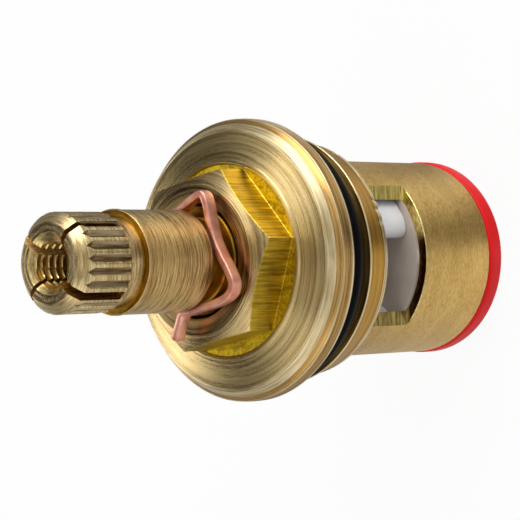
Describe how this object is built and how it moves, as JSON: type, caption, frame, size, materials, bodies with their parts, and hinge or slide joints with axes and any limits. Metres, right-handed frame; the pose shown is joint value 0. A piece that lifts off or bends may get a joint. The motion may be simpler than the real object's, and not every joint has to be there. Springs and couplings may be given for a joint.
{
  "type": "ceramic disc tap cartridge",
  "caption": "Quarter-turn ceramic disc tap cartridge: turned brass body with a hexagon, flange, rubber ring and slotted barrel, a splined turning spindle and a red seal.",
  "frame": {"origin": "middle of the red seal's lower face, on the spindle's axis", "axes": "+Z along the spindle's axis towards its splined end, +X out through the middle of one water window of the barrel"},
  "size_m": [0.0236, 0.0236, 0.0461],
  "materials": {
    "turned_brass": "turned and left satin",
    "bronze_wire": "drawn copper-coloured wire",
    "black_rubber": "moulded, slightly shiny",
    "red_silicone": "moulded, smooth",
    "white_ceramic": "fired alumina, lapped faces",
    "white_plastic": "moulded, plain"
  },
  "bodies": {
    "headwork": {"headwork_body": "turned_brass", "body_o_ring": "black_rubber", "slip_washer": "white_plastic", "fixed_disc": "white_ceramic", "outlet_seal": "red_silicone", "seal_support_ring": "white_plastic"},
    "turning_spindle": {"spindle": "turned_brass", "spindle_o_ring_upper": "black_rubber", "spindle_o_ring_lower": "black_rubber", "retaining_clip": "bronze_wire", "moving_disc": "white_ceramic"}
  },
  "joints": [
    {"name": "spindle_turn", "type": "hinge", "parent": "headwork", "child": "turning_spindle", "pos_m": [0, 0, 0.03], "axis": [0, 0, 1], "range_deg": [0, 90]}
  ]
}
